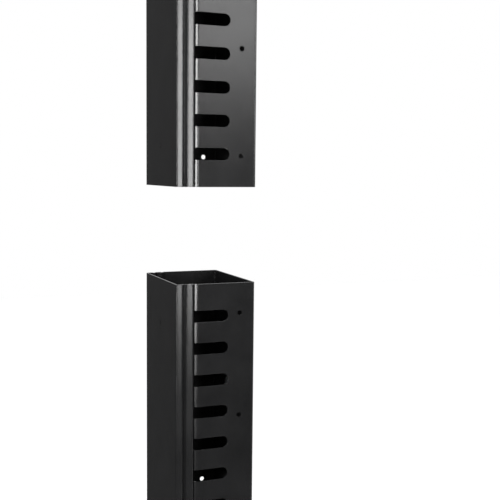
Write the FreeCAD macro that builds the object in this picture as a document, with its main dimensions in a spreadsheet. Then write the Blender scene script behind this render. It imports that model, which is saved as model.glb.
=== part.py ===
import FreeCAD, Part
import math
import os
import Sketcher

# Vertical cable manager: two sections of folded-steel finger duct, one above the other, each with a
# clip-on cover. X = 0 is the mounting plane behind the ducts, which stand out from it along -X. Y runs
# from the front to the back, with Y = 0 in the middle of the ducts' depth. Z is up, with Z = 0 in the
# middle of the gap between the two sections.

os.makedirs("parts", exist_ok=True)
doc = FreeCAD.newDocument("vertical_cable_manager")

# Driving sizes, in millimetres
SIZES = {
    # one section
    "slot_pitch": 28.575,
    "slot_count": 30,
    "section_gap": 84.4,
    "duct_depth": 100.0,
    "duct_reach": 72.8,
    "stand_off": 5.0,
    # folded channel
    "channel_wall": 1.5,
    "channel_bend": 2.5,
    "slot_height": 10.5,
    "slot_inset": 25.2,
    "slot_end_flats": 6,
    "tie_hole_bore": 4.5,
    "tie_hole_flats": 8,
    "tie_hole_count": 10,
    "tie_hole_margin": 27.1,
    "tie_hole_inset": 14.5,
    # finger tips, bent in under the cover's lips and out again behind its returned edges
    "joggle_depth": 3.6,
    "joggle_run": 4.5,
    "snap_rise": 1.0,
    "tip_gap": 1.4,
    # folded cover
    "cover_wall": 1.2,
    "cover_bend": 2.0,
    "lip_length": 15.3,
    "lip_lean": 3.0,
    "bead_setback": 5.4,
    "bead_width": 4.2,
    "bead_floor": 1.4,
    "bead_depth": 2.6,
    "bead_crest_bend": 1.4,
    "bead_root_bend": 0.6,
    "snap_clearance": 0.3,
    "seat_clearance": 0.4,
    "cover_hole_bore": 4.0,
    "cover_hole_low": 36.3,
    "cover_hole_high": 40.5,
    # fixings: a spacer bar, a washer and a bolt at each of three levels
    "fixing_margin": 101.6,
    "fixing_bore": 6.6,
    "fixing_flats": 20,
    "bar_length": 60.0,
    "bar_height": 20.0,
    "bar_clip": 4.0,
    "bolt_shank": 6.0,
    "bolt_thread": 5.9,
    "bolt_length": 20.0,
    "head_flats": 10.0,
    "head_height": 4.0,
    "washer_bore": 6.4,
    "washer_rim": 12.0,
    "washer_wall": 1.6,
}

sheet = doc.addObject("Spreadsheet::Sheet", "sizes")
for row, (alias, size) in enumerate(SIZES.items(), start=1):
    sheet.set(f"A{row}", alias)
    sheet.set(f"B{row}", str(size))
    sheet.setAlias(f"B{row}", alias)
doc.recompute()

# Lengths and places worked out from the driving sizes
SECTION_LENGTH = "((sizes.slot_count + 1) * sizes.slot_pitch)"
REAR_FACE = "(-sizes.stand_off)"
COVER_FACE = "(-sizes.stand_off - sizes.duct_reach)"
FRONT_FACE = "(-sizes.duct_depth / 2)"
SECTION_FOOT = {
    "lower": f"(-sizes.section_gap / 2 - {SECTION_LENGTH})",
    "upper": "(sizes.section_gap / 2)",
}
FIXING_LEVEL = {
    "bottom": "sizes.fixing_margin",
    "middle": f"({SECTION_LENGTH} / 2)",
    "top": f"({SECTION_LENGTH} - sizes.fixing_margin)",
}


def value(expression):
    """The number that an expression of the sheet's sizes comes to."""
    return float(sheet.evalExpression(expression))


# Sketches, each held by dimensions that are bound to the sheet

def add_size(sketch, expression, *constraint):
    """Add a dimension to a sketch and bind it to an expression of the sheet's sizes."""
    index = sketch.addConstraint(Sketcher.Constraint(*constraint, value(expression)))
    sketch.setExpression(f"Constraints[{index}]", expression)


def place_point(sketch, geometry, end, x, y):
    """Hold one point of a sketch at the place that two expressions give."""
    add_size(sketch, x, "DistanceX", -1, 1, geometry, end)
    add_size(sketch, y, "DistanceY", -1, 1, geometry, end)


def body_datum(body, role):
    """One of the body's own origin planes or axes."""
    return next(datum for datum in body.Origin.OriginFeatures if datum.Role == role)


def body_sketch(body, name, role, distance="0"):
    """A new sketch on one of the body's own origin planes, or at a distance from it."""
    sketch = body.newObject("Sketcher::SketchObject", name)
    sketch.AttachmentSupport = [(body_datum(body, role), "")]
    sketch.MapMode = "FlatFace"
    sketch.setExpression(".AttachmentOffset.Base.z", distance)
    return sketch


def closed_outline(sketch, corners):
    """Straight edges from corner to corner and back to the first. Each corner is two expressions."""
    points = [FreeCAD.Vector(value(x), value(y), 0) for x, y in corners]
    edges = [sketch.addGeometry(Part.LineSegment(start, end), False)
             for start, end in zip(points, points[1:] + points[:1])]
    for before, after, (x, y) in zip(edges[-1:] + edges[:-1], edges, corners):
        sketch.addConstraint(Sketcher.Constraint("Coincident", before, 2, after, 1))
        place_point(sketch, after, 1, x, y)
    return sketch


def arc_points(x, y, bore, first, last, flats):
    """Points along an arc about (x, y), from its first to its last angle in degrees, with flats between
    them, because what repeats many times has few faces. The bore is twice the arc's radius."""
    angles = [f"({first} + {last - first} * {step} / {flats})" for step in range(int(value(flats)) + 1)]
    return [(f"({x} + {bore} / 2 * cos({angle}))", f"({y} + {bore} / 2 * sin({angle}))") for angle in angles]


def flat_sided_ring(sketch, x, y, bore, flats):
    """A closed ring of equal flats about the point that two expressions give."""
    return closed_outline(sketch, arc_points(x, y, bore, 0, 360, flats)[:-1])


def circle_outline(sketch, x, y, bore):
    """A circle about the point that two expressions give."""
    centre = FreeCAD.Vector(value(x), value(y), 0)
    circle = Part.Circle(centre, FreeCAD.Vector(0, 0, 1), value(bore) / 2)
    geometry = sketch.addGeometry(circle, False)
    add_size(sketch, bore, "Diameter", geometry)
    place_point(sketch, geometry, 3, x, y)
    return sketch


# Features of a body

def pull(body, sketch, name, length):
    """Pull a sketch's outline out to a length along its plane's normal."""
    pad = body.newObject("PartDesign::Pad", name)
    pad.Profile = sketch
    pad.setExpression("Length", length)
    return pad


def cut_through(body, sketch, name):
    """Cut a sketch's outline right through the body, to both sides of its plane."""
    pocket = body.newObject("PartDesign::Pocket", name)
    pocket.Profile = sketch
    pocket.Type = "ThroughAll"
    pocket.Midplane = True
    return pocket


def repeat(body, feature, name, span, count):
    """Repeat a feature evenly over a span, upwards along the body."""
    pattern = body.newObject("PartDesign::LinearPattern", name)
    pattern.Originals = [feature]
    pattern.Direction = (body_datum(body, "Z_Axis"), [""])
    pattern.setExpression("Length", span)
    pattern.setExpression("Occurrences", count)
    body.Tip = pattern
    return pattern


# Folded sheet: an open line through the bends, given the sheet's thickness and pulled to length

def bend_arc(before, corner, after, radius):
    """The arc that rounds a corner, its two ends, and whether it turns left."""
    run_in = (before - corner).normalize()
    run_out = (after - corner).normalize()
    half_angle = run_in.getAngle(run_out) / 2
    reach = radius / math.tan(half_angle)
    start, end = corner + run_in * reach, corner + run_out * reach
    middle = (run_in + run_out).normalize()
    centre = corner + middle * (radius / math.sin(half_angle))
    turns_left = (corner - before).cross(after - corner).z > 0
    first, last = (start, end) if turns_left else (end, start)
    first_angle = math.atan2(first.y - centre.y, first.x - centre.x)
    last_angle = math.atan2(last.y - centre.y, last.x - centre.x)
    if last_angle < first_angle:
        last_angle += 2 * math.pi
    circle = Part.Circle(centre, FreeCAD.Vector(0, 0, 1), radius)
    return Part.ArcOfCircle(circle, first_angle, last_angle), start, end, turns_left


def folded_line(name, corners):
    """A sketch of one open line. Each corner is the expressions of its x, its y and its bend radius,
    which is None at a free end and at a sharp bend."""
    sketch = doc.addObject("Sketcher::SketchObject", name)
    points = [FreeCAD.Vector(value(x), value(y), 0) for x, y, _ in corners]
    arcs = {}
    for index in range(1, len(corners) - 1):
        if corners[index][2] is not None:
            arcs[index] = bend_arc(*points[index - 1:index + 2], value(corners[index][2]))
    for index in range(len(points) - 1):
        start = arcs[index][2] if index in arcs else points[index]
        end = arcs[index + 1][1] if index + 1 in arcs else points[index + 1]
        sketch.addGeometry(Part.LineSegment(start, end), False)
    for index, (x, y, radius) in enumerate(corners):
        run_in, run_out = index - 1, index
        if index in arcs:
            arc, _, _, turns_left = arcs[index]
            bend = sketch.addGeometry(arc, False)
            first, last = (1, 2) if turns_left else (2, 1)
            sketch.addConstraint(Sketcher.Constraint("Tangent", run_in, 2, bend, first))
            sketch.addConstraint(Sketcher.Constraint("Tangent", bend, last, run_out, 1))
            add_size(sketch, radius, "Radius", bend)
            apex = sketch.addGeometry(Part.Point(points[index]), True)
            sketch.addConstraint(Sketcher.Constraint("PointOnObject", apex, 1, run_in))
            sketch.addConstraint(Sketcher.Constraint("PointOnObject", apex, 1, run_out))
            place_point(sketch, apex, 1, x, y)
        elif index == len(corners) - 1:
            place_point(sketch, run_in, 2, x, y)
        else:
            if index > 0:
                sketch.addConstraint(Sketcher.Constraint("Coincident", run_in, 2, run_out, 1))
            place_point(sketch, run_out, 1, x, y)
    return sketch


def both_sides(front_half):
    """The corners of the front half and, mirrored about the middle of the depth, those of the back half."""
    back_half = [(x, f"(-{y})", radius) for x, y, radius in reversed(front_half)]
    return front_half + back_half


def folded_body(name, corners, offset):
    """A body that starts as a folded sheet as long as a section. The line is the sheet's outer face,
    and the offset, to the right of the line, is its thickness."""
    section = doc.addObject("Part::Offset2D", f"{name}_section")
    section.Source = folded_line(f"{name}_line", corners)
    section.setExpression("Value", offset)
    section.Mode = "Skin"
    section.Join = "Intersection"
    section.Fill = True
    length = doc.addObject("Part::Extrusion", f"{name}_sheet")
    length.Base = section
    length.DirMode = "Custom"
    length.Dir = FreeCAD.Vector(0, 0, 1)
    length.setExpression("LengthFwd", SECTION_LENGTH)
    length.Solid = True
    body = doc.addObject("PartDesign::Body", name)
    body.BaseFeature = length
    doc.recompute()
    return body


# Channel: rear wall and two finger walls, folded from one sheet. A finger's tip is bent in under the
# cover's lip, and leans out again behind the lip's returned edge, which snaps over it.

RETURN_DEPTH = "(sizes.joggle_depth - sizes.snap_rise - sizes.snap_clearance)"
JOGGLE_SLOPE = "(sizes.joggle_run / sizes.joggle_depth)"
JOGGLE_START = f"(sizes.lip_length + sizes.seat_clearance + {RETURN_DEPTH} * {JOGGLE_SLOPE})"
TIP_SETBACK = "(sizes.bead_setback + sizes.bead_width + sizes.tip_gap)"
CHANNEL_CORNERS = both_sides([
    (f"({COVER_FACE} + {TIP_SETBACK})", f"({FRONT_FACE} + sizes.joggle_depth - sizes.snap_rise)", None),
    (f"({COVER_FACE} + {JOGGLE_START} - sizes.joggle_run)", f"({FRONT_FACE} + sizes.joggle_depth)", None),
    (f"({COVER_FACE} + {JOGGLE_START})", FRONT_FACE, None),
    (REAR_FACE, FRONT_FACE, "sizes.channel_bend"),
])


def make_channel():
    """The channel of a section, with its slots, its tie holes and its fixing holes."""
    body = folded_body("channel", CHANNEL_CORNERS, "-sizes.channel_wall")
    slot_end = arc_points(f"({REAR_FACE} - sizes.slot_inset - sizes.slot_height / 2)", "sizes.slot_pitch",
                          "sizes.slot_height", -90, 90, "sizes.slot_end_flats")
    slot_mouth = [(COVER_FACE, "(sizes.slot_pitch + sizes.slot_height / 2)"),
                  (COVER_FACE, "(sizes.slot_pitch - sizes.slot_height / 2)")]
    outline = closed_outline(body_sketch(body, "slot_outline", "XZ_Plane"), slot_end + slot_mouth)
    slot = cut_through(body, outline, "slot")
    repeat(body, slot, "slots", "(sizes.slot_count - 1) * sizes.slot_pitch", "sizes.slot_count")
    outline = flat_sided_ring(body_sketch(body, "tie_hole_outline", "XZ_Plane"),
                              f"({REAR_FACE} - sizes.tie_hole_inset)", "sizes.tie_hole_margin",
                              "sizes.tie_hole_bore", "sizes.tie_hole_flats")
    tie_hole = cut_through(body, outline, "tie_hole")
    repeat(body, tie_hole, "tie_holes", f"({SECTION_LENGTH} - 2 * sizes.tie_hole_margin)",
           "sizes.tie_hole_count")
    outline = body_sketch(body, "fixing_hole_outline", "YZ_Plane")
    for height in FIXING_LEVEL.values():
        flat_sided_ring(outline, "0", height, "sizes.fixing_bore", "sizes.fixing_flats")
    cut_through(body, outline, "fixing_holes")
    return body


# Cover: a flat face and two lips, each with a pressed bead and a returned edge. The lips spread from the
# face to their returned edges, where they are as far apart as the finger walls.

BEAD_SLOPE = "((sizes.bead_width - sizes.bead_floor) / 2)"
BEAD_END = "(sizes.bead_setback + sizes.bead_width)"


def lip_corner(setback, depth, radius):
    """A corner of the front lip at a setback from the cover's face and a depth under the lip's slope."""
    slope = f"(sizes.lip_lean * (1 - {setback} / sizes.lip_length))"
    return (f"({COVER_FACE} + {setback})", f"({FRONT_FACE} + {slope} + {depth})", radius)


COVER_CORNERS = both_sides([
    lip_corner("sizes.lip_length", RETURN_DEPTH, None),
    lip_corner("sizes.lip_length", "0", "sizes.bead_crest_bend"),
    lip_corner(BEAD_END, "0", "sizes.bead_crest_bend"),
    lip_corner(f"({BEAD_END} - {BEAD_SLOPE})", "sizes.bead_depth", "sizes.bead_root_bend"),
    lip_corner(f"(sizes.bead_setback + {BEAD_SLOPE})", "sizes.bead_depth", "sizes.bead_root_bend"),
    lip_corner("sizes.bead_setback", "0", "sizes.bead_crest_bend"),
    lip_corner("0", "0", "sizes.cover_bend"),
])


def make_cover():
    """The cover of a section, with a small hole near each end of its face."""
    body = folded_body("cover", COVER_CORNERS, "sizes.cover_wall")
    outline = body_sketch(body, "cover_hole_outline", "YZ_Plane")
    for height in ("sizes.cover_hole_low", f"({SECTION_LENGTH} - sizes.cover_hole_high)"):
        circle_outline(outline, "0", height, "sizes.cover_hole_bore")
    cut_through(body, outline, "cover_holes")
    return body


# Fixings: a spacer bar, a washer and a bolt, each made about the X axis and placed at its level

INNER_FACE = f"({REAR_FACE} - sizes.channel_wall)"
HEAD_SEAT = f"({INNER_FACE} - sizes.washer_wall)"


def make_spacer_bar():
    """The flat bar between the rear wall and the mounting plane, with clipped corners and one hole."""
    body = doc.addObject("PartDesign::Body", "spacer_bar")
    far, near = "(sizes.bar_length / 2)", "(sizes.bar_length / 2 - sizes.bar_clip)"
    high, low = "(sizes.bar_height / 2)", "(sizes.bar_height / 2 - sizes.bar_clip)"
    right_end = [(near, f"(-{high})"), (far, f"(-{low})"), (far, low), (near, high)]
    left_end = [(f"(-{y})", z) for y, z in reversed(right_end)]
    outline = closed_outline(body_sketch(body, "bar_outline", "YZ_Plane", REAR_FACE), right_end + left_end)
    flat_sided_ring(outline, "0", "0", "sizes.fixing_bore", "sizes.fixing_flats")
    pull(body, outline, "bar", "sizes.stand_off")
    return body


def make_washer():
    """The flat washer between the rear wall and the bolt's head."""
    body = doc.addObject("PartDesign::Body", "washer")
    outline = body_sketch(body, "washer_outline", "YZ_Plane", HEAD_SEAT)
    flat_sided_ring(outline, "0", "0", "sizes.washer_rim", "sizes.fixing_flats")
    flat_sided_ring(outline, "0", "0", "sizes.washer_bore", "sizes.fixing_flats")
    pull(body, outline, "ring", "sizes.washer_wall")
    return body


def make_bolt():
    """The hexagon-head bolt. Its plain shank goes through the rear wall and the bar, and its threaded
    end, a little slimmer, stands out past the mounting plane."""
    body = doc.addObject("PartDesign::Body", "bolt")
    outline = body_sketch(body, "head_outline", "YZ_Plane", f"({HEAD_SEAT} - sizes.head_height)")
    flat_sided_ring(outline, "0", "0", "(sizes.head_flats / cos(30))", "6")
    pull(body, outline, "head", "sizes.head_height")
    outline = flat_sided_ring(body_sketch(body, "shank_outline", "YZ_Plane", HEAD_SEAT), "0", "0",
                              "sizes.bolt_shank", "sizes.fixing_flats")
    pull(body, outline, "shank", f"(-{HEAD_SEAT})")
    outline = circle_outline(body_sketch(body, "thread_outline", "YZ_Plane"), "0", "0", "sizes.bolt_thread")
    pull(body, outline, "thread", f"(sizes.bolt_length + {HEAD_SEAT})")
    return body


# The assembly: each section has one channel, one cover and three sets of fixings

pieces = []


def place(name, pattern_piece, height):
    """Put a copy of a piece at a height, under a name of its own."""
    piece = doc.addObject("PartDesign::Body", name)
    piece.BaseFeature = pattern_piece
    piece.setExpression(".Placement.Base.z", height)
    pieces.append(piece)


channel = make_channel()
cover = make_cover()
fixings = [make_spacer_bar(), make_washer(), make_bolt()]
doc.recompute()
for section, foot in SECTION_FOOT.items():
    place(f"{section}_channel", channel, foot)
    place(f"{section}_cover", cover, foot)
    for level, height in FIXING_LEVEL.items():
        for fixing in fixings:
            place(f"{section}_{fixing.Label}_{level}", fixing, f"({foot} + {height})")
doc.recompute()

for item in doc.Objects:
    if "Invalid" in item.State or "Error" in item.State:
        raise RuntimeError(f"{item.Label} failed: {item.State}")
    if item.TypeId == "PartDesign::Pocket" and item.Shape.Volume >= item.BaseFeature.Shape.Volume:
        raise RuntimeError(f"{item.Label} cuts nothing")
for piece in pieces:
    if piece.Shape.isNull() or not piece.Shape.isValid() or len(piece.Shape.Solids) != 1:
        raise RuntimeError(f"{piece.Label} isn't one valid solid")
for piece in pieces:
    piece.Shape.exportStep(f"parts/{piece.Label}.step")
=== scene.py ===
import math

import bpy
import numpy as np
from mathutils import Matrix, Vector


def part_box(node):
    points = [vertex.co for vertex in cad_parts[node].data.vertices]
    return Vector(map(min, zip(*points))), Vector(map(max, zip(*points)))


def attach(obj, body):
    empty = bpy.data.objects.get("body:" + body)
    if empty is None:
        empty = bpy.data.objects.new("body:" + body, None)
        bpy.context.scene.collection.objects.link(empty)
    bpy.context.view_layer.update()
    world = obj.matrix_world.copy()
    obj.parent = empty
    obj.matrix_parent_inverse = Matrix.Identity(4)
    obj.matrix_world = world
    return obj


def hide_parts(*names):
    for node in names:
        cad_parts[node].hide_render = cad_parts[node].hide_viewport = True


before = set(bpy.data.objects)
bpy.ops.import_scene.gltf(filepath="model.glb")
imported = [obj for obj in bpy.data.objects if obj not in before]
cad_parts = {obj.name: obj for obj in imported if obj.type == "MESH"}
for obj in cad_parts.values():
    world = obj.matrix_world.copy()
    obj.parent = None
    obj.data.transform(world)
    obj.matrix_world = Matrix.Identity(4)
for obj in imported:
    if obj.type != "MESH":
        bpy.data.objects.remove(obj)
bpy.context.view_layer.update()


# Camera. It looks from the front and the left, from a little above the middle of the gap, so that the
# covers, the front finger walls and the open end of the lower duct are in view.
MM = 0.001
CAMERA_PLACE = (-309.8 * MM, -773.7 * MM, 58.5 * MM)
CAMERA_TILT = (84.7505, -0.539, -22.4389)
SENSOR_WIDTH = 36.0
FOCAL_LENGTH = 63.818

camera_lens = bpy.data.cameras.new("camera")
camera_lens.sensor_width = SENSOR_WIDTH
camera_lens.lens = FOCAL_LENGTH
camera = bpy.data.objects.new("camera", camera_lens)
camera.location = CAMERA_PLACE
camera.rotation_euler = [math.radians(angle) for angle in CAMERA_TILT]
bpy.context.scene.collection.objects.link(camera)
bpy.context.scene.camera = camera


# Channels. Each is one sheet of 1.5 mm steel: a flat blank is punched with slots, tie holes and fixing
# holes, then folded into a rear wall and two finger walls. Near its tip each finger is bent in under the
# cover's lip, and its tip leans out again. The whole is powder coated black.
SECTIONS = ("lower", "upper")
DUCTS = "ducts"
CHANNEL_WALL = 1.5 * MM
CHANNEL_BEND = 2.5 * MM
SLOT_COUNT = 30
SLOT_HEIGHT = 10.5 * MM
SLOT_INSET = 25.2 * MM
SLOT_ROUND = np.radians(np.linspace(0, 90, 9))
TIE_HOLE_BORE = 4.5 * MM
TIE_HOLE_COUNT = 10
TIE_HOLE_MARGIN = 27.1 * MM
TIE_HOLE_INSET = 14.5 * MM
TIE_HOLE_FIELD = 4.4 * MM
FIXING_BORE = 6.6 * MM
FIXING_MARGIN = 101.6 * MM
FIXING_FIELD = 5.6 * MM
FIELD_POINTS = np.linspace(-1, 1, 7)
JOGGLE_DEPTH = 3.6 * MM
JOGGLE_RUN = 4.5 * MM
JOGGLE_CLEARANCE = 3.275 * MM
JOGGLE_CREST = 1.8 * MM
JOGGLE_ROOT = 0.7 * MM
TIP_RISE = 1.0 * MM
TIP_LENGTH = 3.075 * MM
TIP_CORNER = 2.0 * MM
TIP_ROUND = np.radians([30, 60, 90])
ROW_SPACING = 1.4 * MM
BEND_STEP = math.radians(11)
LEAST_BEND_STEPS = 3
FLAT_MARGIN = 0.4 * MM
EDGE_ROUND = 0.13 * MM
EDGE_SEGMENTS = 2
SHARP_ANGLE = math.radians(40)
SAME_PLACE = MM / 1000
PLACE_ERROR = MM / 100
COAT_DARK = (0.007, 0.007, 0.0073, 1)
COAT_PALE = (0.011, 0.011, 0.0114, 1)


def folded_line(corners):
    """A line through corners, each given as its place x + iy and the radius of its bend. A bend's arc
    touches both runs at radius * tan(turn / 2) from the corner, and its points lie at equal angles. Each
    run also has a point near both of its ends, so that it stays flat beside the bends. Returns each
    point's place along the line, and the points."""
    pieces = [np.array([corners[0][0]])]
    for (before, _), (corner, radius), (after, _) in zip(corners, corners[1:], corners[2:]):
        run_in = (corner - before) / abs(corner - before)
        turn = np.angle((after - corner) / run_in)
        start = corner - run_in * radius * math.tan(abs(turn) / 2)
        centre = start + 1j * np.sign(turn) * run_in * radius
        steps = np.linspace(0, 1, max(LEAST_BEND_STEPS, math.ceil(abs(turn) / BEND_STEP)) + 1)
        pieces.append(centre + (start - centre) * np.exp(1j * turn * steps))
    pieces.append(np.array([corners[-1][0]]))
    points = [pieces[0]]
    for before, after in zip(pieces, pieces[1:]):
        run = after[0] - before[-1]
        near_end = min(FLAT_MARGIN, abs(run) / 3) / abs(run)
        points += [before[-1] + run * np.array([near_end, 1 - near_end]), after]
    points = np.concatenate(points)
    places = np.concatenate([[0], np.cumsum(abs(np.diff(points)))])
    return places, points


def both_sides(front_half):
    """The corners of the front half, then those of the back half, which mirrors it in y."""
    return front_half + [(corner.conjugate(), radius) for corner, radius in reversed(front_half)]


def with_stations(*groups):
    """All the given values once, in rising order: one that is the same place as the one before is left
    out."""
    values = np.sort(np.concatenate(groups))
    return values[np.concatenate([[True], np.diff(values) > SAME_PLACE])]


def hole_field(centres, half_width):
    """Even places across each hole's field, the square of the blank around it: the hole's centre plus
    even shares of half the field's width."""
    return np.add.outer(centres, half_width * FIELD_POINTS).ravel()


def punched_blank(across, levels, slots, half_gap, holes):
    """A flat sheet with slots and holes: its points, as (place across, level), and four-sided faces.

    It is a grid of rows at the levels and columns at the places across. A slot's row is there twice, and
    parts there by the column's half gap, up and down. A row between two slots moves by the share of that
    gap that its height between them leaves. Columns with no gap keep the two rows as one. For a hole,
    given as (place, level, radius, field), the squares of its field are left out, and each point on the
    field's edge is joined to the circle's point that lies in the same direction from the centre."""
    rows = np.sort(np.concatenate([levels, slots]))
    upper_copy = np.concatenate([[False], np.diff(rows) == 0])
    lower_copy = np.concatenate([upper_copy[1:], [False]])
    ends = np.concatenate([[levels[0]], slots, [levels[-1]]])
    finger = np.clip(np.searchsorted(ends, rows, side="right") - 1 - lower_copy, 0, len(slots))
    share = (rows - ends[finger]) / (ends[finger + 1] - ends[finger])
    push = (1 - share) * (finger > 0) - share * (finger < len(slots))
    along = rows[:, None] + push[:, None] * half_gap
    points = np.stack([np.broadcast_to(across, along.shape), along], axis=-1).reshape(-1, 2)
    ids = np.arange(along.size).reshape(along.shape)
    ids[upper_copy] = np.where(half_gap > 0, ids[upper_copy], ids[lower_copy])
    keep = np.repeat(~upper_copy[1:, None], len(across) - 1, axis=1)
    faces = []
    for place, level, radius, field in holes:
        span = np.array([-field, field]) - PLACE_ERROR
        left, right = np.searchsorted(across, place + span)
        low, high = np.searchsorted(rows, level + span)
        keep[low:high, left:right] = False
        climb = [row for row in range(low, high) if not upper_copy[row]]
        edge = np.concatenate([ids[low, left:right], ids[climb, right], ids[high, right:left:-1],
                               ids[[high] + climb[:0:-1], left]])
        ray = points[edge] - (place, level)
        circle = (place, level) + radius * ray / np.linalg.norm(ray, axis=1)[:, None]
        rim = len(points) + np.arange(len(edge))
        points = np.concatenate([points, circle])
        faces.append(np.stack([edge, np.roll(edge, -1), np.roll(rim, -1), rim], axis=1))
    squares = np.stack([ids[:-1, :-1], ids[:-1, 1:], ids[1:, 1:], ids[1:, :-1]], axis=-1)[keep]
    faces = np.concatenate([squares] + faces)
    used, faces = np.unique(faces, return_inverse=True)
    return points[used], faces.reshape(-1, 4)


def new_piece(name, points, faces):
    """A smooth-shaded mesh object from an array of points and a list of faces."""
    mesh = bpy.data.meshes.new(name)
    mesh.from_pydata(points.tolist(), [], faces)
    mesh.shade_smooth()
    piece = bpy.data.objects.new(name, mesh)
    bpy.context.scene.collection.objects.link(piece)
    return piece


def give_wall(piece, wall):
    """Give a sheet its thickness, inwards, then round its sharp edges a little and keep its flat faces
    flat."""
    thickness = piece.modifiers.new("wall", "SOLIDIFY")
    thickness.thickness = wall
    thickness.offset = -1
    thickness.use_even_offset = True
    edge = piece.modifiers.new("edge", "BEVEL")
    edge.width = EDGE_ROUND
    edge.segments = EDGE_SEGMENTS
    edge.limit_method = "ANGLE"
    edge.angle_limit = SHARP_ANGLE
    edge.use_clamp_overlap = False
    edge.harden_normals = True


def folded_piece(name, blank, line, wall):
    """A blank folded along a line. Each of its points goes to the line's point at the same place along
    it and keeps its level, and the sheet's thickness goes inwards."""
    points, faces = blank
    places, corners = line
    x = np.interp(points[:, 0], places, corners.real)
    y = np.interp(points[:, 0], places, corners.imag)
    piece = new_piece(name, np.stack([x, y, points[:, 1]], axis=1), faces.tolist())
    give_wall(piece, wall)
    return piece


def feed(owner, socket, value):
    """Set a shader socket of a material or a world to a value, or link it to another node's output."""
    if isinstance(value, bpy.types.NodeSocket):
        owner.node_tree.links.new(value, socket)
    else:
        socket.default_value = value


def feed_node(owner, node, **values):
    """Feed a node's sockets by name, with an underscore for each space."""
    for name, value in values.items():
        feed(owner, node.inputs[name.replace("_", " ")], value)


def add_node(owner, kind, **values):
    """A new shader node with its sockets fed."""
    node = owner.node_tree.nodes.new(kind)
    feed_node(owner, node, **values)
    return node


def new_material(name):
    """An empty node material, its shader and the piece's own coordinates."""
    material = bpy.data.materials.new(name)
    material.use_nodes = True
    shader = material.node_tree.nodes["Principled BSDF"]
    place = add_node(material, "ShaderNodeTexCoord").outputs["Object"]
    return material, shader, place


def blend_colours(material, share, *stops):
    """The colour at a share of the way along stops, each given as its position and colour."""
    ramp = add_node(material, "ShaderNodeValToRGB", Fac=share)
    for element, (position, colour) in zip(ramp.color_ramp.elements, stops):
        element.position = position
        element.color = colour
    return ramp.outputs["Color"]


def powder_coat():
    """Black powder coat: fine orange peel with a finer grain in it, and a faint cloudiness of colour and
    gloss where the coat is thicker or has been handled."""
    material, shader, place = new_material("powder_coat")
    cloud = add_node(material, "ShaderNodeTexNoise", Vector=place, Scale=38.0, Detail=5.0, Roughness=0.6)
    colour = blend_colours(material, cloud.outputs["Fac"], (0.3, COAT_DARK), (0.7, COAT_PALE))
    gloss = add_node(material, "ShaderNodeMapRange", Value=cloud.outputs["Fac"], To_Min=0.21, To_Max=0.28)
    peel = add_node(material, "ShaderNodeTexNoise", Vector=place, Scale=900.0, Detail=2.0)
    grain = add_node(material, "ShaderNodeTexNoise", Vector=place, Scale=3200.0, Detail=1.0)
    coarse = add_node(material, "ShaderNodeBump", Strength=0.5, Distance=0.03 * MM,
                      Height=peel.outputs["Fac"])
    fine = add_node(material, "ShaderNodeBump", Strength=0.4, Distance=0.01 * MM,
                    Height=grain.outputs["Fac"], Normal=coarse.outputs["Normal"])
    feed_node(material, shader, Base_Color=colour, Roughness=gloss.outputs["Result"],
              Normal=fine.outputs["Normal"])
    return material


POWDER_COAT = powder_coat()


def finish_piece(piece, material, body, node):
    """Give a piece its material, and let it stand for its node on the body that carries it."""
    piece.data.materials.append(material)
    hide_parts(node)
    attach(piece, body)


def channel_line(section):
    """The channel's fold line, from the front finger's tip round the rear wall to the back finger's."""
    low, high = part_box(f"{section}_channel")
    joggle_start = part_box(f"{section}_cover")[1].x + JOGGLE_CLEARANCE
    joggle_end = joggle_start - JOGGLE_RUN
    inner_face = low.y + JOGGLE_DEPTH
    return folded_line(both_sides([
        (complex(joggle_end - TIP_LENGTH, inner_face - TIP_RISE), None),
        (complex(joggle_end, inner_face), JOGGLE_ROOT),
        (complex(joggle_start, low.y), JOGGLE_CREST),
        (complex(high.x, low.y), CHANNEL_BEND),
    ]))


def slot_half_gap(from_tip, past_centre):
    """Half of a slot's height at places across the blank. Past the centre of its round end the height
    follows that circle down to nothing. Near a finger's tip it grows as the tip's round corner falls
    away, by the corner's radius less the root of its square less that of the way into the corner."""
    radius = SLOT_HEIGHT / 2
    half_gap = np.sqrt(np.clip(radius ** 2 - np.clip(past_centre, 0, radius) ** 2, 0, None))
    half_gap[half_gap < PLACE_ERROR] = 0
    into_corner = np.clip(TIP_CORNER - from_tip, 0, None)
    return half_gap + (TIP_CORNER - np.sqrt(TIP_CORNER ** 2 - into_corner ** 2))


def clear_of_slots(rows, slots):
    """Rows moved away from the nearest slot's level, to the least spacing that leaves room there for the
    slot's rounded edge."""
    nearest = slots[np.abs(rows[:, None] - slots).argmin(axis=1)]
    return nearest + np.sign(rows - nearest) * np.maximum(np.abs(rows - nearest), ROW_SPACING)


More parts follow.
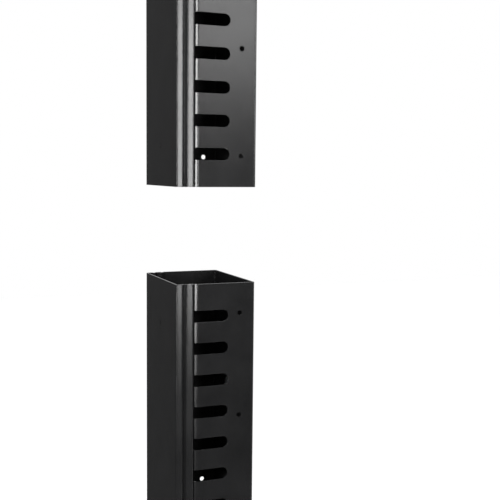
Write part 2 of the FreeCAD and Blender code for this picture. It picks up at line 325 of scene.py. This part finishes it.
def channel_piece(section):
    """One section's channel, punched and folded."""
    low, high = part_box(f"{section}_channel")
    line = channel_line(section)
    places, points = line
    width = places[-1]
    front = slice(0, len(points) // 2)
    slot_centre = high.x - SLOT_INSET - SLOT_HEIGHT / 2
    slot_end = slot_centre + SLOT_HEIGHT / 2 * np.sin(SLOT_ROUND)
    slot_stations = np.interp(slot_end, points.real[front], places[front])
    tie_place = np.interp(high.x - TIE_HOLE_INSET, points.real[front], places[front])
    half = np.concatenate([slot_stations, TIP_CORNER * (1 - np.cos(TIP_ROUND)),
                           hole_field(tie_place, TIE_HOLE_FIELD)])
    across = with_stations(places, half, width - half, hole_field(width / 2, FIXING_FIELD))
    from_tip = np.minimum(across, width - across)
    half_gap = slot_half_gap(from_tip, np.interp(from_tip, places, points.real) - slot_centre)

    slots = np.linspace(low.z, high.z, SLOT_COUNT + 2)[1:-1]
    tie_levels = np.linspace(low.z + TIE_HOLE_MARGIN, high.z - TIE_HOLE_MARGIN, TIE_HOLE_COUNT)
    fixing_levels = np.array([low.z + FIXING_MARGIN, (low.z + high.z) / 2, high.z - FIXING_MARGIN])
    tie_rows = clear_of_slots(hole_field(tie_levels, TIE_HOLE_FIELD), slots)
    levels = with_stations([low.z, high.z], slots, tie_rows, hole_field(fixing_levels, FIXING_FIELD))
    holes = [(place, level, TIE_HOLE_BORE / 2, TIE_HOLE_FIELD)
             for level in tie_levels for place in (tie_place, width - tie_place)]
    holes += [(width / 2, level, FIXING_BORE / 2, FIXING_FIELD) for level in fixing_levels]
    blank = punched_blank(across, levels, slots, half_gap, holes)
    return folded_piece(f"{section}_channel_sheet", blank, line, CHANNEL_WALL)


for section in SECTIONS:
    finish_piece(channel_piece(section), POWDER_COAT, DUCTS, f"{section}_channel")


# Covers. Each is one sheet of 1.2 mm steel with a small hole near each end, folded into a flat face and
# two lips. A bead is pressed into each lip, and the lip's returned edge hooks over the finger tips.
COVER_WALL = 1.2 * MM
COVER_BEND = 1.6 * MM
LIP_LEAN = 3.0 * MM
LIP_RETURN = 2.3 * MM
BEAD_SETBACK = 5.4 * MM
BEAD_WIDTH = 4.2 * MM
BEAD_DEPTH = 2.6 * MM
BEAD_CREST = 1.25 * MM
BEAD_ROOT = 0.5 * MM
RETURN_BEND = 1.25 * MM
COVER_HOLE_BORE = 4.0 * MM
COVER_HOLE_LOW = 36.3 * MM
COVER_HOLE_HIGH = 40.5 * MM
COVER_HOLE_FIELD = 4.0 * MM


def cover_line(section):
    """The cover's fold line. It runs from the back lip to the front one, so that the outer face looks
    outwards."""
    low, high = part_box(f"{section}_cover")
    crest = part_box(f"{section}_channel")[1].y
    lip_length = high.x - low.x

    def lip_corner(setback, depth, radius):
        """A corner of the back lip: its lean is in proportion to its distance from the lip's edge."""
        lean = LIP_LEAN * (1 - setback / lip_length)
        return complex(low.x + setback, crest - lean - depth), radius

    return folded_line(both_sides([
        lip_corner(lip_length, LIP_RETURN, None),
        lip_corner(lip_length, 0, RETURN_BEND),
        lip_corner(BEAD_SETBACK + BEAD_WIDTH, 0, BEAD_CREST),
        lip_corner(BEAD_SETBACK + BEAD_WIDTH / 2, BEAD_DEPTH, BEAD_ROOT),
        lip_corner(BEAD_SETBACK, 0, BEAD_CREST),
        lip_corner(0, 0, COVER_BEND),
    ]))


def cover_piece(section):
    """One section's cover, punched and folded."""
    low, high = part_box(f"{section}_cover")
    line = cover_line(section)
    places, _ = line
    middle = places[-1] / 2
    across = with_stations(places, hole_field(middle, COVER_HOLE_FIELD))
    hole_levels = np.array([low.z + COVER_HOLE_LOW, high.z - COVER_HOLE_HIGH])
    levels = with_stations([low.z, high.z], hole_field(hole_levels, COVER_HOLE_FIELD))
    holes = [(middle, level, COVER_HOLE_BORE / 2, COVER_HOLE_FIELD) for level in hole_levels]
    blank = punched_blank(across, levels, np.array([]), np.zeros(len(across)), holes)
    return folded_piece(f"{section}_cover_sheet", blank, line, COVER_WALL)


for section in SECTIONS:
    finish_piece(cover_piece(section), POWDER_COAT, f"{section}_cover_body",
                 f"{section}_cover")


# Spacer bars and washers. A spacer bar is a flat steel bar with clipped corners that holds the rear wall
# off the mounting plane, powder coated black. A washer lies under each bolt's head, and is zinc plated.
LEVELS = ("bottom", "middle", "top")
BAR_CLIP = 4.0 * MM
WASHER_BORE = 6.4 * MM
PLATE_RINGS = 3
ROUND = np.linspace(0, 2 * np.pi, 48, endpoint=False)
ZINC_BLUE = (0.50, 0.52, 0.56, 1)
ZINC_YELLOW = (0.74, 0.72, 0.66, 1)


def half_sizes(node):
    """Half a node's size along y and z."""
    low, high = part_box(node)
    return (high.y - low.y) / 2, (high.z - low.z) / 2


def punched_plate(name, node, bore, clip, angles):
    """A flat plate about the X axis with a round bore. In each direction it reaches from the bore's
    circle to the nearest of its sides, its ends and the lines that clip its corners, or to its rim's
    circle where it has no clip."""
    low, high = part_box(node)
    width, height = half_sizes(node)
    aside, up = np.abs(np.cos(angles)), np.abs(np.sin(angles))
    if clip is None:
        reach = np.full(len(angles), width)
    else:
        reach = 1 / np.max([aside / width, up / height, (aside + up) / (width + height - clip)], axis=0)
    radius = np.linspace(bore / 2, reach, PLATE_RINGS)
    x = np.full(radius.shape, high.x)
    centre = (low.z + high.z) / 2
    points = np.stack([x, radius * np.cos(angles), centre + radius * np.sin(angles)], axis=-1)
    ids = np.arange(radius.size).reshape(radius.shape)
    turned = np.roll(ids, -1, axis=1)
    faces = np.stack([ids[:-1], ids[1:], turned[1:], turned[:-1]], axis=-1).reshape(-1, 4)
    piece = new_piece(name, points.reshape(-1, 3), faces.tolist())
    give_wall(piece, high.x - low.x)
    return piece


def bar_angles(node):
    """Even directions round the bore, and those of the bar's eight corners."""
    width, height = half_sizes(node)
    corner = np.arctan2([height - BAR_CLIP, height], [width, width - BAR_CLIP])
    corners = np.concatenate([corner, np.pi - corner, np.pi + corner, 2 * np.pi - corner])
    return with_stations(ROUND, corners)


def zinc_plate():
    """Bright zinc plate on steel: a faint blue and yellow cloudiness of colour and gloss, and a fine
    grain."""
    material, shader, place = new_material("zinc_plate")
    cloud = add_node(material, "ShaderNodeTexNoise", Vector=place, Scale=260.0, Detail=4.0)
    colour = blend_colours(material, cloud.outputs["Fac"], (0.0, ZINC_BLUE), (1.0, ZINC_YELLOW))
    gloss = add_node(material, "ShaderNodeMapRange", Value=cloud.outputs["Fac"], To_Min=0.25, To_Max=0.42)
    grain = add_node(material, "ShaderNodeTexNoise", Vector=place, Scale=2400.0, Detail=2.0)
    bump = add_node(material, "ShaderNodeBump", Strength=0.3, Distance=0.01 * MM,
                    Height=grain.outputs["Fac"])
    feed_node(material, shader, Base_Color=colour, Roughness=gloss.outputs["Result"],
              Normal=bump.outputs["Normal"], Metallic=1.0)
    return material


ZINC_PLATE = zinc_plate()

for section in SECTIONS:
    for level in LEVELS:
        node = f"{section}_spacer_bar_{level}"
        bar = punched_plate(f"{node}_plate", node, FIXING_BORE, BAR_CLIP, bar_angles(node))
        finish_piece(bar, POWDER_COAT, DUCTS, node)
        node = f"{section}_washer_{level}"
        washer = punched_plate(f"{node}_ring", node, WASHER_BORE, None, ROUND)
        finish_piece(washer, ZINC_PLATE, DUCTS, node)


# Bolts. Each is an M6 hexagon-head bolt in zinc-plated steel: a forged head with a turned chamfer, and a
# rolled thread that runs out in a point past the mounting plane.
HEAD_FLATS = 10.0 * MM
HEAD_SIDE = math.pi / 3
HEAD_CROWN = 9.3 * MM
HEAD_CHAMFER = math.radians(30)
HEAD_HEIGHT = 4.0 * MM
THREAD_BORE = 6.0 * MM
THREAD_PITCH = 1.0 * MM
THREAD_STEPS = 8
THREAD_DEPTH = 0.6 * MM
THREAD_POINT = 1.0 * MM
THREAD_EDGE = math.radians(35)


def bolt_piece(node):
    """A bolt about the X axis, as rings of points from its head to its point, closed by a flat face at
    both ends. The head's rim is as far out as the hexagon in that direction, and the chamfer's cone cuts
    its crown back by the rim's reach past the crown, times the chamfer's tangent. The thread's radius is
    a triangular wave of the distance along the shank, less one pitch for each turn, and shrinks to the
    point."""
    low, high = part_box(node)
    centre = (low.z + high.z) / 2
    aside = (ROUND + HEAD_SIDE / 2) % HEAD_SIDE - HEAD_SIDE / 2
    rim = HEAD_FLATS / 2 / np.cos(aside)
    crown = np.full(len(ROUND), HEAD_CROWN / 2)
    chamfer = low.x + np.clip(rim - crown, 0, None) * math.tan(HEAD_CHAMFER)
    seat = low.x + HEAD_HEIGHT
    shank = np.arange(seat, high.x + SAME_PLACE, THREAD_PITCH / THREAD_STEPS)
    wave = np.abs(((shank[:, None] - seat) / THREAD_PITCH - ROUND / (2 * np.pi)) % 1 - 0.5) * 2
    run_in = np.clip((shank - seat) / THREAD_PITCH, 0, 1)[:, None]
    taper = np.clip(1 - (high.x - shank) / THREAD_POINT, 0, 1)[:, None] * THREAD_DEPTH
    thread = THREAD_BORE / 2 - np.maximum(wave * THREAD_DEPTH * run_in, taper)
    radius = np.concatenate([[crown, rim, rim], thread])
    x = np.concatenate([[np.full(len(ROUND), low.x), chamfer, np.full(len(ROUND), seat)],
                        np.repeat(shank[:, None], len(ROUND), axis=1)])
    points = np.stack([x, radius * np.cos(ROUND), centre + radius * np.sin(ROUND)], axis=-1)
    ids = np.arange(radius.size).reshape(radius.shape)
    turned = np.roll(ids, -1, axis=1)
    faces = np.stack([ids[:-1], turned[:-1], turned[1:], ids[1:]], axis=-1).reshape(-1, 4)
    ends = [ids[0, ::-1].tolist(), ids[-1].tolist()]
    piece = new_piece(f"{node}_threaded", points.reshape(-1, 3), faces.tolist() + ends)
    piece.data.set_sharp_from_angle(angle=THREAD_EDGE)
    return piece


for section in SECTIONS:
    for level in LEVELS:
        node = f"{section}_bolt_{level}"
        finish_piece(bolt_piece(node), ZINC_PLATE, DUCTS, node)


# Floor and light. A white floor lies just under the lower section's foot, in a white room. Tall soft lamps
# stand in front for the cover's lips, at the left for the fingers' bent tips and at the right for the lines
# along the bends, and a higher one lights the upper finger walls.
FLOOR_DROP = 2.0 * MM
FLOOR_LEFT, FLOOR_FRONT, FLOOR_FAR = -0.1, -1.0, 6.0
FLOOR_COLOUR = (0.95, 0.95, 0.95, 1)
FLOOR_ROUGHNESS = 0.8
FLOOR_GLOW = 0.7
WHITE = (1, 1, 1, 1)
ROOM_LIGHT = 0.3
ROOM_DIM = (0.068, 0.1)
DIM_HEIGHTS = (-0.3, 0.2)
BACKDROP_WAY = (0.8, 0.6, 0.0)
BACKDROP_EDGES = (0.5, 0.7)


def combine(owner, kind, operation, first, second):
    """The number that a maths node makes of two inputs."""
    node = add_node(owner, kind)
    node.operation = operation
    feed(owner, node.inputs[0], first)
    feed(owner, node.inputs[1], second)
    return node.outputs["Value"]


def seen_directly(owner):
    """One for what the camera, mirrors and glass see directly, and zero for plain light."""
    path = add_node(owner, "ShaderNodeLightPath")
    seen = path.outputs["Is Camera Ray"]
    for ray in ("Is Glossy Ray", "Is Transmission Ray"):
        seen = combine(owner, "ShaderNodeMath", "MAXIMUM", seen, path.outputs[ray])
    return seen


floor_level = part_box("lower_channel")[0].z - FLOOR_DROP
floor_points = np.array([[FLOOR_LEFT, FLOOR_FRONT, floor_level], [FLOOR_FAR, FLOOR_FRONT, floor_level],
                         [FLOOR_FAR, FLOOR_FAR, floor_level], [FLOOR_LEFT, FLOOR_FAR, floor_level]])
floor = new_piece("floor", floor_points, [[0, 1, 2, 3]])
floor_paint, floor_shader, _ = new_material("floor_paint")
feed_node(floor_paint, floor_shader, Base_Color=FLOOR_COLOUR, Roughness=FLOOR_ROUGHNESS)
# The lit floor and its glow together are white, and the object's shadow takes the lit part away.
floor_share = combine(floor_paint, "ShaderNodeMath", "MULTIPLY", seen_directly(floor_paint), FLOOR_GLOW)
floor_glow = add_node(floor_paint, "ShaderNodeEmission", Color=WHITE, Strength=floor_share)
floor_sum = add_node(floor_paint, "ShaderNodeAddShader")
feed(floor_paint, floor_sum.inputs[0], floor_shader.outputs[0])
feed(floor_paint, floor_sum.inputs[1], floor_glow.outputs[0])
feed_node(floor_paint, floor_paint.node_tree.nodes["Material Output"], Surface=floor_sum.outputs[0])
floor.data.materials.append(floor_paint)

world = bpy.data.worlds.new("room")
bpy.context.scene.world = world
world.use_nodes = True
# The camera sees the room white all round. Mirrors see it white to the right behind the object and dim
# elsewhere, the more so the lower they look, so that the glossy coat stays black. The floor ends just
# left of the covers for the same reason.
room_way = add_node(world, "ShaderNodeTexCoord").outputs["Generated"]
room_height = add_node(world, "ShaderNodeSeparateXYZ", Vector=room_way)
room_dim = add_node(world, "ShaderNodeMapRange", Value=room_height.outputs["Z"], From_Min=DIM_HEIGHTS[0],
                    From_Max=DIM_HEIGHTS[1], To_Min=ROOM_DIM[0], To_Max=ROOM_DIM[1])
to_backdrop = combine(world, "ShaderNodeVectorMath", "DOT_PRODUCT", room_way, BACKDROP_WAY)
backdrop = add_node(world, "ShaderNodeMapRange", Value=to_backdrop, From_Min=BACKDROP_EDGES[0],
                    From_Max=BACKDROP_EDGES[1], To_Min=room_dim.outputs["Result"], To_Max=1.0)
room_path = add_node(world, "ShaderNodeLightPath")
room_glow = combine(world, "ShaderNodeMath", "MAXIMUM", backdrop.outputs["Result"],
                    room_path.outputs["Is Camera Ray"])
room_light = add_node(world, "ShaderNodeBackground", Color=WHITE, Strength=ROOM_LIGHT)
room_seen = add_node(world, "ShaderNodeBackground", Color=WHITE, Strength=room_glow)
room_mix = add_node(world, "ShaderNodeMixShader", Fac=seen_directly(world))
feed(world, room_mix.inputs[1], room_light.outputs[0])
feed(world, room_mix.inputs[2], room_seen.outputs[0])
feed_node(world, world.node_tree.nodes["World Output"], Surface=room_mix.outputs[0])


def soft_lamp(name, azimuth, distance, width, low, high, power):
    """A rectangular lamp at a direction, in degrees to the right of the front, and a distance. It stands
    upright from a low to a high level and faces the object's middle line."""
    lamp_data = bpy.data.lights.new(name, "AREA")
    lamp_data.shape = "RECTANGLE"
    lamp_data.size = width
    lamp_data.size_y = high - low
    lamp_data.energy = power
    lamp = bpy.data.objects.new(name, lamp_data)
    turn = math.radians(azimuth)
    lamp.location = (distance * math.sin(turn), -distance * math.cos(turn), (low + high) / 2)
    lamp.rotation_euler = (math.pi / 2, 0, turn)
    bpy.context.scene.collection.objects.link(lamp)


soft_lamp("front_lamp", azimuth=-5, distance=2.8, width=0.3, low=-0.4, high=0.95, power=31)
soft_lamp("high_lamp", azimuth=20, distance=2.8, width=0.5, low=0.42, high=1.2, power=10)
soft_lamp("left_lamp", azimuth=-60, distance=2.6, width=0.2, low=-0.5, high=0.95, power=48)
soft_lamp("right_lamp", azimuth=48, distance=2.6, width=0.5, low=0.0, high=1.2, power=26)

bpy.context.scene.view_settings.view_transform = "Standard"
